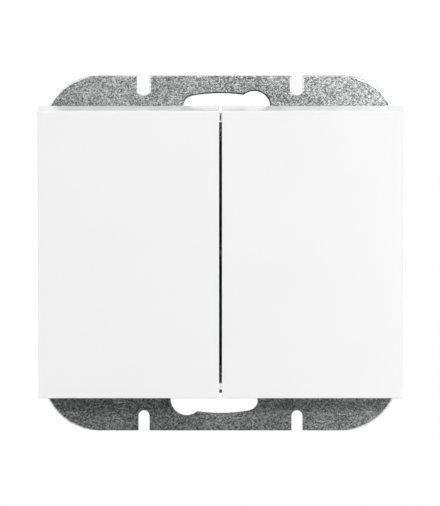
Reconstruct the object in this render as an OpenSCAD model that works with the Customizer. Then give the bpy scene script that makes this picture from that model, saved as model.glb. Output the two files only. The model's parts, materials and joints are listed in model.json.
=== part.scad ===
// Two-gang rocker wall switch, the flush insert without its trim frame.
// Two wide keys clip onto toggles in a moulded body.
// A galvanised steel plate holds the body in a wall box.
// Everything is drawn in a wall frame: x to the right, y up, z out of the wall, and z = 0 on the wall's face.
// upright() then stands the part up, with +Z up and its front towards -Y.

/* [Mounting plate] */
// Width of the steel plate
plate_w = 71; // [66:0.5:80]
// Height of the steel plate
plate_h = 71; // [69:0.5:80]
// Thickness of the sheet
plate_t = 1; // [0.8:0.1:1.5]
// Radius of the plate's corners
plate_corner_r = 11; // [4:0.5:14]
// Diameter of the circle that the box screws sit on
fixing_pcd = 60; // [58:0.5:62]
// Width of the curved box-screw slots
screw_slot_w = 4; // [3.2:0.1:4.6]
// Angle from the middle of a curved slot to its plain end
screw_slot_angle = 10.5; // [6:0.5:16]
// Angle from the middle of a curved slot to its keyhole
keyhole_angle = 13; // [9:0.5:17]
// Diameter of the keyhole that lets a screw head through
keyhole_d = 6.4; // [5.4:0.1:7]
// Width of the open slots in the upper and lower edges
edge_slot_w = 2.2; // [1.4:0.1:3.2]
// Depth of the open edge slots
edge_slot_depth = 4; // [2.5:0.25:5]
// Distance between the two open slots of one edge
edge_slot_pitch = 30.6; // [26:0.2:38]
// Width of the tabs that clinch the body
tab_w = 4; // [3:0.25:6]
// How far a tab reaches over the body's flange
tab_hold = 1.6; // [1:0.1:1.8]

/* [Rocker keys] */
// Width of one key at its face
key_w = 35.7; // [33:0.1:39]
// Height of a key at its face
key_h = 56.9; // [53:0.1:62]
// Thickness of a key's face and walls
key_wall = 1.6; // [1.2:0.1:2]
// Gap between the two keys
key_gap = 0.55; // [0.35:0.05:1]
// How far a key's upper and lower walls spread towards the wall
key_end_lean = 0.57; // [0:0.05:1]
// How far a key's outer side wall spreads towards the wall
key_side_lean = 0.17; // [0:0.01:0.5]
// Radius of a key's outer edges
key_edge_r = 0.2; // [0.15:0.05:0.8]
// Tilt of a key either side of level
key_tilt = 5; // [3:0.5:6]
// Room between a pressed key's rim and the plate
key_rim_gap = 0.45; // [0.3:0.05:1]
// Height of the seats between a key's face and its toggle
key_seat_h = 0.7; // [0.6:0.1:2]

/* [Moulded body] */
// Width of the body
body_w = 42; // [40:0.2:46]
// Height of the body
body_h = 41; // [40:0.2:45]
// Depth of the body behind the wall's face
body_depth = 22; // [21:0.25:30]
// Thickness of the body's side walls
body_wall = 1.6; // [1.2:0.1:2]
// Thickness of the body's rear wall
floor_t = 1.8; // [1.4:0.1:2.4]
// Corner radius of the body
body_corner_r = 3; // [2:0.25:4]
// Bevel round the body's rear edge
rear_bevel = 1.2; // [0.4:0.1:1.6]
// How far the body's flange reaches past its walls
flange_lip = 2; // [1.8:0.1:2.4]
// Thickness of the flange
flange_t = 1.4; // [1:0.1:2]
// Thickness of the mechanism cover
cover_t = 1.4; // [1:0.1:2]
// Distance between the middles of the two switch mechanisms
gang_pitch = 20; // [18:0.2:22]

/* [Toggles] */
// Diameter of the axle stubs
axle_d = 2.4; // [2:0.1:2.8]
// Diameter of the toggle's hub
hub_d = 4.8; // [4.4:0.1:5.6]
// Room between the hub and the mechanism cover
hub_gap = 1.3; // [1:0.1:2]
// Half length of the saddle that a key clips onto
saddle_y = 8; // [6:0.25:10]
// Width of the saddle
saddle_w = 12; // [10:0.5:14]
// Outer diameter of the stem
stem_d = 7; // [6:0.1:8]
// Diameter of the spring-loaded plunger
plunger_d = 4.2; // [3.4:0.1:4.6]
// How far the plunger stands out of the stem
plunger_out = 4; // [3:0.1:5]
// Length of the plunger inside the stem
plunger_in = 5; // [4:0.25:6]
// Length of the plunger spring
spring_l = 6.4; // [5.5:0.1:7]
// Wire diameter of the plunger spring
spring_wire = 0.5; // [0.3:0.05:0.55]
// Turns of the plunger spring
spring_turns = 6; // [4:1:6]

/* [Contacts and terminals] */
// Height of the contact arm's pivot above the body's rear wall
pivot_h = 6.7; // [6.2:0.1:7.4]
// Width of the contact arm
arm_w = 6; // [5:0.1:7]
// Thickness of the contact arm
arm_t = 1.2; // [0.8:0.1:1.5]
// Tilt of the contact arm either side of level
arm_tilt = 7.5; // [5:0.5:8]
// Diameter of the contact tips
tip_d = 3.8; // [3:0.1:4.2]
// Thickness of the terminal strips
strip_t = 1.2; // [0.8:0.1:1.5]
// Width of the terminal strips
strip_w = 3.6; // [3:0.1:3.8]
// Diameter of the wire holes
wire_hole_d = 3.5; // [2.8:0.1:3.8]
// Thread diameter of the terminal screws
terminal_screw_d = 3.4; // [2.8:0.1:3.8]
// Head diameter of the terminal screws
terminal_head_d = 5.8; // [5:0.1:6.2]
// Length of the terminal screws under the head
terminal_screw_l = 5; // [4.5:0.1:6]

/* [Claws] */
// Thickness of the claw's sheet
claw_t = 1.5; // [1.2:0.1:1.7]
// Width of a claw
claw_w = 9.6; // [8.8:0.1:11]
// Reach of a claw behind the wall's face
claw_reach = 14.5; // [14:0.25:17]
// Depth of the claw's screw lug behind the wall's face
claw_lug_depth = 3.75; // [3.5:0.05:4.5]
// Thread diameter of the claw screws
claw_screw_d = 3; // [2.5:0.1:3.2]
// Distance of the claw screw from the claw's hinge
claw_screw_reach = 5; // [4.8:0.1:5.6]
// Diameter of the claw's barrel nut
claw_nut_d = 5.2; // [4.6:0.1:5.6]
// Length of the claw's barrel nut
claw_nut_l = 5.6; // [4.6:0.1:5.8]
// Length of the claw's teeth
claw_tooth_l = 1.6; // [1:0.1:2]

/* [Clearances] */
// Radial clearance of turning and sliding fits
running_fit = 0.05; // [0.03:0.01:0.1]
// Gap between parts that pass each other
free_gap = 0.3; // [0.2:0.05:0.4]
// Gap left between parts that come to rest on each other
rest_gap = 0.05; // [0.03:0.01:0.1]
// Play of parts that are slid or snapped into place
fitting_play = 0.1; // [0.05:0.01:0.15]

/* [Hidden] */
$fn = 64;
hull_fn = 32;
fuse = 0.01;
through = 1;

// Levels from the wall outwards
flange_front_z = plate_t + flange_t;
cover_front_z = flange_front_z + cover_t;
hub_r = hub_d / 2;
axle_z = cover_front_z + hub_gap + hub_r;
saddle_front_z = axle_z + hub_r;
key_inside_z = saddle_front_z + key_seat_h;
key_face_z = key_inside_z + key_wall;

// Plate
slot_end_step = 0.05;
slot_land = 2;

// Keys
key_x0 = key_gap / 2;
key_x1 = key_x0 + key_w;
rim_half_h = key_h / 2 + key_end_lean;
key_rim_z = axle_z + (plate_t + key_rim_gap - axle_z + rim_half_h * sin(key_tilt)) / cos(key_tilt);
key_rib_t = 1;
key_rib_h = 1.8;
seat_l = 3;
clip_t = 1.4;
clip_w = 9;
clip_hook = 0.8;
clip_hook_h = 1.1;
hook_land = 0.3;
lower_nib_inset = 1.95;
lower_nib_y = key_h / 2 - lower_nib_inset;
lower_nib_h = 1.3;
upper_nib_h = 2;
upper_nib_gap = 0.2;
nib_inset = 0.45;

// Body
gang_x = gang_pitch / 2;
floor_z = -body_depth + floor_t;
room_w = body_w - 2 * body_wall;
room_h = body_h - 2 * body_wall;
least_corner_r = 0.5;
room_corner_r = max(body_corner_r - body_wall, least_corner_r);
window_gap = 0.2;
partition_t = 1.6;
rib_t = 1;
gauge_l = 11;
gauge_w = 2;
gauge_depth = 0.6;
tab_x = 14;
tab_y1 = body_h / 2 + flange_lip + fitting_play + plate_t;
tab_hole_l = flange_t + tab_hold;
skirt_t = 1.2;
skirt_z = -3.4;
latch_w = 7;
latch_h = 1.2;
latch_depth = 0.8;
latch_rise = 0.8;
latch_land = 0.3;
latch_z = skirt_z + latch_rise;
collar_t = 0.8;
collar_h = 0.6;

// Toggles
cheek_wall = 1;
cheek_r = axle_d / 2 + running_fit + cheek_wall;
cheek_t = 1.6;
cheek_edge = 0.6;
mouth_share = 0.8;
cheek_mouth = mouth_share * axle_d;
mouth_lead = 0.6;
middle_cheek_t = 2.4;
hub_x0 = middle_cheek_t / 2 + free_gap;
hub_x1 = body_w / 2 - cheek_edge - cheek_t - free_gap;
saddle_t = 1.6;

// Contacts
pivot_z = floor_z + pivot_h;
arm_seat = 0.3;
arm_front_z = pivot_z + arm_seat + arm_t;
arm_corner_r = 1.2;
block_w = 6.5;
block_h = 6;
block_d = 7;
block_y0 = room_h / 2 - block_h;
arm_end = block_y0 - free_gap - (arm_seat + arm_t) * sin(arm_tilt);
tip_edge = 0.4;
tip_reach = arm_end - tip_d / 2 - tip_edge;
tip_h = 1;
tip_dome_r = 4;
tip_shank_d = 2;
dome_rise = tip_dome_r - tip_h + arm_seat;
tip_closed_z = pivot_z - tip_reach * sin(arm_tilt) + dome_rise * cos(arm_tilt) - tip_dome_r;
load_strip_z = tip_closed_z - rest_gap - tip_h;
ridge_r = 0.8;
ear_t = 0.8;
ear_rise = 1.4;
stop_l = 1.2;
stop_w = 1;
stop_inset = 2.5;
stop_y = arm_end - stop_inset;
stop_z = pivot_z - (stop_y + stop_l) * sin(arm_tilt) + arm_seat * cos(arm_tilt) - rest_gap;
bridge_y0 = 3;
bridge_y1 = 7;

// Plunger and spring
plunger_tip_z = arm_front_z + rest_gap;
stem_end_z = plunger_tip_z + plunger_out;
plunger_back_z = stem_end_z + plunger_in;
bore_end_z = plunger_back_z + spring_l;
bore_r = plunger_d / 2 + running_fit;
spring_r = plunger_d / 2 - spring_wire / 2 - fitting_play;

// Terminal screws
block_web = 0.55;
wire_y = block_y0 + block_web + wire_hole_d / 2;
wire_funnel = 0.8;
screw_z = floor_z + block_d / 2;
screw_back_off = 0.1;
terminal_tip_y = wire_y + wire_hole_d / 2 + screw_back_off;
terminal_head_h = 1.8;
drive_slot_w = 0.9;
head_chamfer = 0.35;

// Claws
claw_play = 0.25;
claw_x = body_w / 2 + claw_play + claw_t / 2;
claw_z = plate_t - fitting_play - claw_t / 2;
claw_x0 = claw_x - claw_t / 2;
claw_x1 = claw_x + claw_t / 2;
bend_r = 0.4;
trunnion_l = 1.3;
trunnion_w = claw_w + 2 * trunnion_l;
claw_swing_room = 0.65;
claw_notch_x = claw_x1 + claw_swing_room;
claw_screw_x = claw_x + claw_screw_reach;
claw_lug_w = 6;
claw_lug_edge = 1;
claw_lug_x1 = claw_screw_x + claw_screw_d / 2 + claw_lug_edge;
claw_slot_play = 0.2;
claw_slot_w = claw_screw_d + 2 * claw_slot_play;
claw_slot_x0 = claw_x1 + bend_r + claw_slot_w / 2;
claw_lug_l = claw_lug_x1 - claw_x1 - bend_r + (bend_r + claw_t / 2) * PI / 2;
claw_window_relief = 0.85;
claw_window_l = claw_lug_l + claw_window_relief;
claw_foot_l = 2.85;
claw_teeth = 4;
claw_nut_z = -claw_lug_depth - claw_t - rest_gap - claw_nut_d / 2;
claw_screw_past = 0.4;
claw_screw_end_z = claw_nut_z - claw_nut_d / 2 - claw_screw_past;
claw_head_d = 5.5;
claw_head_h = 2;
bearing_h = 1.4;
guide_t = 1.2;
guide_rise = 1.4;
guide_z0 = -2.4;

// Frames and repeated shapes

module upright() {
    rotate([90, 0, 0]) children();
}

// Draws its children on the right, or mirrored on the left
module on_side(side) {
    mirror([side < 0 ? 1 : 0, 0, 0]) children();
}

// Draws its children at the top, or mirrored at the bottom
module on_end(end) {
    mirror([0, end < 0 ? 1 : 0, 0]) children();
}

module both_sides() {
    for (side = [-1, 1]) on_side(side) children();
}

module both_ends() {
    for (end = [-1, 1]) on_end(end) children();
}

module slab(z0, z1) {
    translate([0, 0, z0]) linear_extrude(z1 - z0) children();
}

// A profile drawn in x and z, drawn out evenly to both sides of y = 0
module across(width) {
    rotate([90, 0, 0]) linear_extrude(width, center = true) children();
}

// A profile drawn in y and z, drawn out from x0 to x1
module along_x(x0, x1) {
    translate([x0, 0, 0]) rotate([90, 0, 90]) linear_extrude(x1 - x0) children();
}

// A box given by two opposite corners
module block(low, high) {
    translate(low) cube(high - low);
}

module rounded_rect(w, h, r) {
    square([w - 2 * r, h], center = true);
    square([w, h - 2 * r], center = true);
    for (sx = [-1, 1], sy = [-1, 1]) translate([sx * (w / 2 - r), sy * (h / 2 - r)]) circle(r);
}

// A slot along x with round ends, from end centre to end centre
module round_slot(x0, x1, w) {
    translate([x0, -w / 2]) square([x1 - x0, w]);
    for (x = [x0, x1]) translate([x, 0]) circle(w / 2);
}

// A round bar along x
module bar_x(x0, x1, z, r) {
    translate([x0, 0, z]) rotate([0, 90, 0]) cylinder(r = r, h = x1 - x0);
}

// Turns its children about the toggle axle
module tilted(angle) {
    translate([0, 0, axle_z]) rotate([angle, 0, 0]) translate([0, 0, -axle_z]) children();
}

// Turns its children about the contact arm's pivot
module rocked(angle) {
    translate([0, 0, pivot_z]) rotate([angle, 0, 0]) translate([0, 0, -pivot_z]) children();
}

// A slotted screw along z, with its head's underside at z = 0 and its shank below
module slotted_screw(shank_d, shank_l, head_d, head_h) {
    chamfer = head_h * head_chamfer;
    difference() {
        union() {
            translate([0, 0, -shank_l]) cylinder(d = shank_d, h = shank_l + fuse);
            cylinder(d = head_d, h = head_h - chamfer);
            translate([0, 0, head_h - chamfer]) cylinder(d1 = head_d, d2 = head_d - 2 * chamfer, h = chamfer);
        }
        translate([0, 0, head_h]) cube([head_d + through, drive_slot_w, head_h], center = true);
    }
}

// Mounting plate

// The curved box-screw slot at the top, with a plain end on the left and a keyhole on the right
module fixing_slot() {
    slot_r = fixing_pcd / 2;
    far = plate_h;
    intersection() {
        difference() {
            circle(slot_r + screw_slot_w / 2);
            circle(slot_r - screw_slot_w / 2);
        }
        polygon([
            [0, 0],
            [-far * sin(screw_slot_angle), far * cos(screw_slot_angle)],
            [far * sin(keyhole_angle), far * cos(keyhole_angle)],
        ]);
    }
    rotate(screw_slot_angle) translate([0, slot_r]) circle(d = screw_slot_w - 2 * slot_end_step);
    rotate(-keyhole_angle) translate([0, slot_r]) circle(d = keyhole_d);
}

// The land round the curved slots, which stands out as ears where the plate ends close to them
module fixing_ears() {
    ear_r = keyhole_d / 2 + slot_land;
    reach = fixing_pcd / 2;
    intersection() {
        circle(reach + ear_r);
        square([2 * (reach * sin(keyhole_angle) + ear_r), 2 * (reach + ear_r)], center = true);
    }
}

module edge_slot() {
    translate([edge_slot_pitch / 2, plate_h / 2 - edge_slot_depth + edge_slot_w / 2]) {
        circle(d = edge_slot_w);
        translate([-edge_slot_w / 2, 0]) square([edge_slot_w, edge_slot_depth]);
    }
}

// Room for a claw's hinge, and the hole for its screw
module claw_cutouts() {
    notch_h = trunnion_w + 2 * free_gap;
    translate([0, -notch_h / 2]) square([claw_notch_x, notch_h]);
    translate([claw_screw_x, 0]) circle(d = claw_screw_d + 2 * claw_slot_play);
}

module plate_outline() {
    difference() {
        union() {
            rounded_rect(plate_w, plate_h, plate_corner_r);
            fixing_ears();
        }
        rounded_rect(body_w + 2 * window_gap, body_h + 2 * window_gap, body_corner_r);
        for (turn = [0, 180]) rotate(turn) fixing_slot();
        both_sides() both_ends() {
            edge_slot();
            translate([tab_x - tab_w / 2, tab_y1]) square([tab_w, tab_hole_l]);
        }
        both_sides() claw_cutouts();
    }
}

// A tab lanced from the plate and bent over the body's flange
module clinch_tab() {
    bend_y = tab_y1 - plate_t;
    end_y = body_h / 2 + flange_lip - tab_hold;
    along_x(tab_x - tab_w / 2, tab_x + tab_w / 2) {
        translate([bend_y, plate_t - fuse]) square([plate_t, flange_front_z - plate_t + fuse]);
        translate([end_y, flange_front_z]) square([bend_y - end_y, plate_t]);
        translate([bend_y, flange_front_z]) intersection() {
            circle(plate_t);
            translate([-fuse, -fuse]) square(plate_t + fuse);
        }
    }
}

module mounting_plate() {
    color("silver") {
        slab(0, plate_t) plate_outline();
        both_sides() both_ends() clinch_tab();
    }
}

// Moulded body

module wire_entry() {
    translate([gang_x, wire_y, -body_depth]) {
        translate([0, 0, -through]) cylinder(d = wire_hole_d, h = floor_t + 2 * through);
        cylinder(d1 = wire_hole_d + 2 * wire_funnel, d2 = wire_hole_d, h = wire_funnel);
    }
}

module screw_well() {
    translate([gang_x, room_h / 2 - through, screw_z]) rotate([-90, 0, 0])
        cylinder(d = terminal_head_d + 2 * free_gap, h = body_wall + 2 * through);
}

// Ribs on both sides of a terminal
module terminal_ribs() {
    for (side = [-1, 1]) translate([gang_x + side * (block_w / 2 + fitting_play + rib_t / 2), 0, 0])
        block([-rib_t / 2, block_y0, floor_z - fuse], [rib_t / 2, room_h / 2 + fuse, floor_z + block_d]);
}

// The two ribs that a resting contact arm lies on
module arm_stops() {
    for (side = [-1, 1]) translate([gang_x + side * (arm_w - stop_w) / 2, 0, 0])
        block([-stop_w / 2, stop_y, floor_z - fuse], [stop_w / 2, stop_y + stop_l, stop_z]);
}

// Ledges under the ends of a claw's hinge, and the ribs that guide the claw
module claw_bearings() {
    ledge_z = claw_z - claw_t / 2 - running_fit;
    guide_y = trunnion_w / 2 + free_gap;
    wall_x = body_w / 2;
    both_ends() {
        block([wall_x - fuse, claw_w / 2 + 2 * fitting_play, ledge_z - bearing_h],
            [claw_x1, trunnion_w / 2, ledge_z]);
        translate([0, guide_y + guide_t / 2, 0]) across(guide_t) polygon([
            [wall_x - fuse, guide_z0],
            [wall_x + guide_rise, guide_z0 - guide_rise],
            [wall_x + guide_rise, rear_bevel + guide_rise - body_depth],
            [wall_x - fuse, rear_bevel - body_depth],
        ]);
    }
}

module latch_windows() {
    for (sx = [-1, 1]) translate([sx * tab_x, 0, 0])
        block([-latch_w / 2 - 2 * fitting_play, room_h / 2 - through, latch_z - 2 * fitting_play],
            [latch_w / 2 + 2 * fitting_play, body_h / 2 + through, latch_z + latch_h + 2 * fitting_play]);
}

module rear_bevels() {
    side = rear_bevel * sqrt(2);
    for (sx = [-1, 1]) translate([sx * body_w / 2, 0, -body_depth]) rotate([0, 45, 0])
        cube([side, 2 * body_h, side], center = true);
    for (sy = [-1, 1]) translate([0, sy * body_h / 2, -body_depth]) rotate([45, 0, 0])
        cube([2 * body_w, side, side], center = true);
}

// The groove that shows how far to strip a wire
module strip_gauge() {
    reach = (gauge_l - gauge_w) / 2;
    slab(-body_depth - through, -body_depth + gauge_depth) round_slot(-reach, reach, gauge_w);
}

module open_box() {
    difference() {
        union() {
            slab(-body_depth, plate_t + fuse) rounded_rect(body_w, body_h, body_corner_r);
            slab(plate_t, flange_front_z)
                rounded_rect(body_w + 2 * flange_lip, body_h + 2 * flange_lip, body_corner_r);
        }
        slab(floor_z, flange_front_z + through) rounded_rect(room_w, room_h, room_corner_r);
        rear_bevels();
        strip_gauge();
    }
}

module base_housing() {
    color("#3a3c3f") difference() {
        union() {
            open_box();
            block([-partition_t / 2, -room_h / 2 - fuse, floor_z - fuse],
                [partition_t / 2, room_h / 2 + fuse, skirt_z - free_gap]);
            both_sides() {
                both_ends() terminal_ribs();
                arm_stops();
                claw_bearings();
            }
        }
        both_sides() both_ends() {
            wire_entry();
            screw_well();
        }
        both_ends() latch_windows();
        block([-partition_t, bridge_y0 - window_gap, floor_z],
            [partition_t, bridge_y1 + window_gap, floor_z + strip_t + window_gap]);
    }
}

// Mechanism cover with the toggles' bearings

// A bearing that an axle stub snaps into through a mouth with sloped lips
module bearing_cheek(x0, x1) {
    lip_z = axle_z + cheek_r - mouth_lead;
    difference() {
        union() {
            bar_x(x0, x1, axle_z, cheek_r);
            block([x0, -cheek_r, cover_front_z - fuse], [x1, cheek_r, axle_z]);
        }
        bar_x(x0 - through, x1 + through, axle_z, axle_d / 2 + running_fit);
        block([x0 - through, -cheek_mouth / 2, axle_z],
            [x1 + through, cheek_mouth / 2, axle_z + 2 * cheek_r]);
        along_x(x0 - through, x1 + through) polygon([
            [-cheek_mouth / 2, lip_z],
            [cheek_mouth / 2, lip_z],
            [cheek_mouth / 2 + 2 * mouth_lead, lip_z + 2 * mouth_lead],
            [-cheek_mouth / 2 - 2 * mouth_lead, lip_z + 2 * mouth_lead],
        ]);
    }
}

module cover_skirt() {
    w = room_w - 2 * fitting_play;
    h = room_h - 2 * fitting_play;
    difference() {
        slab(skirt_z, flange_front_z + fuse) rounded_rect(w, h, room_corner_r);
        slab(skirt_z - through, flange_front_z)
            rounded_rect(w - 2 * skirt_t, h - 2 * skirt_t, room_corner_r / 2);
    }
    both_ends() for (sx = [-1, 1]) along_x(sx * tab_x - latch_w / 2, sx * tab_x + latch_w / 2) polygon([
        [h / 2 - fuse, latch_z],
        [h / 2 + latch_depth, latch_z + latch_h - latch_land],
        [h / 2 + latch_depth, latch_z + latch_h],
        [h / 2 - fuse, latch_z + latch_h],
    ]);
}

module mechanism_cover() {
    stem_swing = (axle_z - flange_front_z) * tan(key_tilt);
    opening_w = stem_d + 2 * free_gap;
    opening_h = stem_d + 2 * stem_swing + 2 * free_gap;
    color("#44474a") {
        difference() {
            union() {
                slab(flange_front_z, cover_front_z) rounded_rect(body_w, body_h, body_corner_r);
                cover_skirt();
                both_sides() translate([gang_x, 0]) slab(cover_front_z - fuse, cover_front_z + collar_h)
                    square([opening_w + 2 * collar_t, opening_h + 2 * collar_t], center = true);
            }
            both_sides() translate([gang_x, 0]) slab(flange_front_z - through, cover_front_z + through)
                square([opening_w, opening_h], center = true);
        }
        bearing_cheek(-middle_cheek_t / 2, middle_cheek_t / 2);
        both_sides() bearing_cheek(hub_x1 + free_gap, hub_x1 + free_gap + cheek_t);
    }
}

// Brass terminals

module terminal_block() {
    difference() {
        block([gang_x - block_w / 2, block_y0, floor_z],
            [gang_x + block_w / 2, room_h / 2, floor_z + block_d]);
        translate([gang_x, wire_y, floor_z - through]) cylinder(d = wire_hole_d, h = block_d + 2 * through);
        translate([gang_x, wire_y, screw_z]) rotate([-90, 0, 0])
            cylinder(d = terminal_screw_d + 2 * running_fit, h = room_h / 2);
    }
}

// The post that a contact arm rocks on, with a round ridge and two guiding ears
module rocking_post() {
    ear_x = arm_w / 2 + fitting_play;
    block([gang_x - ear_x, -ridge_r, floor_z], [gang_x + ear_x, ridge_r, pivot_z]);
    bar_x(gang_x - ear_x, gang_x + ear_x, pivot_z, ridge_r);
    for (side = [-1, 1]) translate([gang_x + side * (ear_x + ear_t / 2), 0, 0])
        block([-ear_t / 2, -2 * ridge_r, floor_z], [ear_t / 2, 2 * ridge_r, pivot_z + ear_rise]);
}

module line_terminal() {
    color("goldenrod") {
        both_sides() {
            terminal_block();
            block([gang_x - strip_w / 2, -2 * ridge_r, floor_z],
                [gang_x + strip_w / 2, block_y0 + fuse, floor_z + strip_t]);
            rocking_post();
        }
        block([-gang_x, bridge_y0, floor_z], [gang_x, bridge_y1, floor_z + strip_t]);
    }
}

module load_terminal(side) {
    color("goldenrod") on_side(side) on_end(-1) {
        terminal_block();
        difference() {
            block([gang_x - strip_w / 2, tip_reach - tip_d / 2, load_strip_z - strip_t],
                [gang_x + strip_w / 2, block_y0 + fuse, load_strip_z]);
            translate([gang_x, tip_reach, load_strip_z - strip_t - through])
                cylinder(d = tip_shank_d, h = strip_t + 2 * through);
        }
    }
}

// A silver rivet with its domed face towards +z, its head's underside at z = 0 and its shank below
module contact_rivet(shank_l) {
    intersection() {
        cylinder(d = tip_d, h = tip_h);
        translate([0, 0, tip_h - tip_dome_r]) sphere(r = tip_dome_r);
    }
    translate([0, 0, -shank_l]) cylinder(d = tip_shank_d, h = shank_l + fuse);
}

module fixed_contacts() {
    color("gainsboro") both_sides() translate([gang_x, -tip_reach, load_strip_z]) contact_rivet(strip_t);
}

// Rocking contact arms

module contact_arm(side) {
    color("peru") on_side(side) rocked(-arm_tilt) difference() {
        translate([gang_x, 0]) slab(pivot_z + arm_seat, arm_front_z)
            rounded_rect(arm_w, 2 * arm_end, arm_corner_r);
        bar_x(gang_x - arm_w, gang_x + arm_w, pivot_z, ridge_r + running_fit);
        translate([gang_x, -tip_reach, pivot_z]) cylinder(d = tip_shank_d, h = arm_seat + arm_t + through);
    }
}

module contact_tip(side) {
    color("gainsboro") on_side(side) rocked(-arm_tilt)
        translate([gang_x, -tip_reach, pivot_z + arm_seat]) mirror([0, 0, 1]) contact_rivet(arm_t);
}

// Toggles with their plungers and springs

module toggle(side) {
    color("whitesmoke") on_side(side) tilted(key_tilt) difference() {
        union() {
            bar_x(hub_x0, hub_x1, axle_z, hub_r);
            bar_x(running_fit, hub_x1 + free_gap + cheek_t, axle_z, axle_d / 2);
            translate([gang_x, 0, stem_end_z]) cylinder(d = stem_d, h = axle_z - stem_end_z);
            block([gang_x - saddle_w / 2, -saddle_y, saddle_front_z - saddle_t],
                [gang_x + saddle_w / 2, saddle_y, saddle_front_z]);
        }
        translate([gang_x, 0, stem_end_z - through])
            cylinder(r = bore_r, h = bore_end_z - stem_end_z + through);
    }
}

module plunger(side) {
    round_z = plunger_tip_z + plunger_d / 2;
    color("ivory") on_side(side) tilted(key_tilt) translate([gang_x, 0, round_z]) {
        cylinder(d = plunger_d, h = plunger_back_z - round_z);
        sphere(d = plunger_d);
    }
}

// A round wire wound on a helix about z, from z0 to z1
module helix_spring(r, wire, turns, z0, z1) {
    wire_sides = 6;
    rings_per_turn = 8;
    rings = turns * rings_per_turn;
    rise = (z1 - z0 - wire) / rings;
    middle = [for (i = [0:rings]) [
        r * cos(i * 360 / rings_per_turn),
        r * sin(i * 360 / rings_per_turn),
        z0 + wire / 2 + rise * i
    ]];
    turn_steps = [for (i = [0:rings - rings_per_turn]) norm(middle[i + rings_per_turn] - middle[i])];
    least_gap = min(turn_steps) - wire;
    echo(least_gap_between_spring_turns = least_gap);
    points = [
        for (i = [0:rings], k = [0:wire_sides - 1])
            let (out = middle[i] / norm([middle[i].x, middle[i].y]), angle = k * 360 / wire_sides)
            middle[i] + wire / 2 * [out.x * cos(angle), out.y * cos(angle), sin(angle)]
    ];
    skin = [
        for (i = [0:rings - 1], k = [0:wire_sides - 1])
            let (a = i * wire_sides + k, b = i * wire_sides + (k + 1) % wire_sides)
            each [[a, b, a + wire_sides], [b, b + wire_sides, a + wire_sides]]
    ];
    last = rings * wire_sides;
    first_cap = [for (k = [1:wire_sides - 2]) [0, k + 1, k]];
    last_cap = [for (k = [1:wire_sides - 2]) [last, last + k, last + k + 1]];
    polyhedron(points, concat(skin, first_cap, last_cap));
}

module plunger_spring(side) {
    color("lightgray") on_side(side) tilted(key_tilt) translate([gang_x, 0, 0])
        helix_spring(spring_r, spring_wire, spring_turns, plunger_back_z, bore_end_z);
}

// Rocker keys

// The space between two rectangles, each given by its lowest and highest x and its half height
module tapered_room(z0, low, z1, high) {
    hull() {
        block([low[0], -low[2], z0], [low[1], low[2], z0 + fuse]);
        block([high[0], -high[2], z1 - fuse], [high[1], high[2], z1]);
    }
}

module key_shell() {
    r = key_edge_r;
    half_h = key_h / 2;
    rim_x1 = key_x1 + key_side_lean;
    difference() {
        hull() {
            for (x = [key_x0 + r, key_x1 - r], sy = [-1, 1])
                translate([x, sy * (half_h - r), key_face_z - r]) sphere(r, $fn = hull_fn);
            for (x = [key_x0 + r, rim_x1 - r], sy = [-1, 1])
                translate([x, sy * (rim_half_h - r), key_rim_z]) cylinder(r = r, h = fuse, $fn = hull_fn);
        }
        tapered_room(key_rim_z - fuse, [key_x0 + key_wall, rim_x1 - key_wall, rim_half_h - key_wall],
            key_inside_z, [key_x0 + key_wall, key_x1 - key_wall, half_h - key_wall]);
    }
}

// Room under the inner wall for the mechanism cover and its middle bearing
module inner_wall_relief() {
    cover_y = body_h / 2 + flange_lip;
    cover_clear = cover_front_z + free_gap + cover_y * tan(key_tilt);
    cheek_clear = axle_z + cheek_r + 2 * free_gap;
    x1 = key_x0 + key_wall + fuse;
    block([0, -cover_y - through, key_rim_z - through], [x1, cover_y + through, cover_clear]);
    block([0, -cheek_r - through, key_rim_z - through], [x1, cheek_r + through, cheek_clear]);
}

// The clip that hooks under one end of the toggle's saddle, with a slope that spreads it as it is pushed on
module saddle_clip() {
    y0 = saddle_y + fitting_play;
    hook_top = saddle_front_z - saddle_t - rest_gap;
    along_x(gang_x - clip_w / 2, gang_x + clip_w / 2) polygon([
        [y0, hook_top - clip_hook_h],
        [y0 + clip_t, hook_top - clip_hook_h],
        [y0 + clip_t, key_inside_z + fuse],
        [y0, key_inside_z + fuse],
        [y0, hook_top],
        [y0 - clip_hook, hook_top],
        [y0 - clip_hook, hook_top - hook_land],
    ]);
}

// A stiffening rib across the key, and the seat on one end of the toggle's saddle
module key_ribs() {
    rib_y = (saddle_y + clip_t + key_h / 2) / 2;
    block([key_x0 + key_wall - fuse, rib_y, key_inside_z - key_rib_h],
        [key_x1 - key_wall + fuse, rib_y + key_rib_t, key_inside_z + fuse]);
    block([gang_x - saddle_w / 2, saddle_y - seat_l, saddle_front_z],
        [gang_x + saddle_w / 2, saddle_y, key_inside_z + fuse]);
}

// Nibs that keep the two keys apart: a long one at the upper end and a short one near the lower end
module spacer_nibs() {
    z0 = key_rim_z + key_wall;
    z1 = key_face_z - nib_inset;
    upper_y1 = key_h / 2 - nib_inset;
    block([upper_nib_gap / 2, upper_y1 - upper_nib_h, z0], [key_x0 + fuse, upper_y1, z1]);
    block([rest_gap, -lower_nib_y - lower_nib_h / 2, z0],
        [key_x0 + fuse, -lower_nib_y + lower_nib_h / 2, z1]);
}

module rocker(side) {
    color("white") on_side(side) tilted(key_tilt) {
        difference() {
            key_shell();
            inner_wall_relief();
        }
        both_ends() {
            saddle_clip();
            key_ribs();
        }
        spacer_nibs();
    }
}

// Terminal screws, backed off so that a wire can go in

module terminal_screw(side, end) {
    color("lightsteelblue") on_side(side) on_end(end)
        translate([gang_x, terminal_tip_y + terminal_screw_l, screw_z]) rotate([-90, 0, 0])
            slotted_screw(terminal_screw_d, terminal_screw_l, terminal_head_d, terminal_head_h);
}

// Claws that spread against the wall of the box

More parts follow.
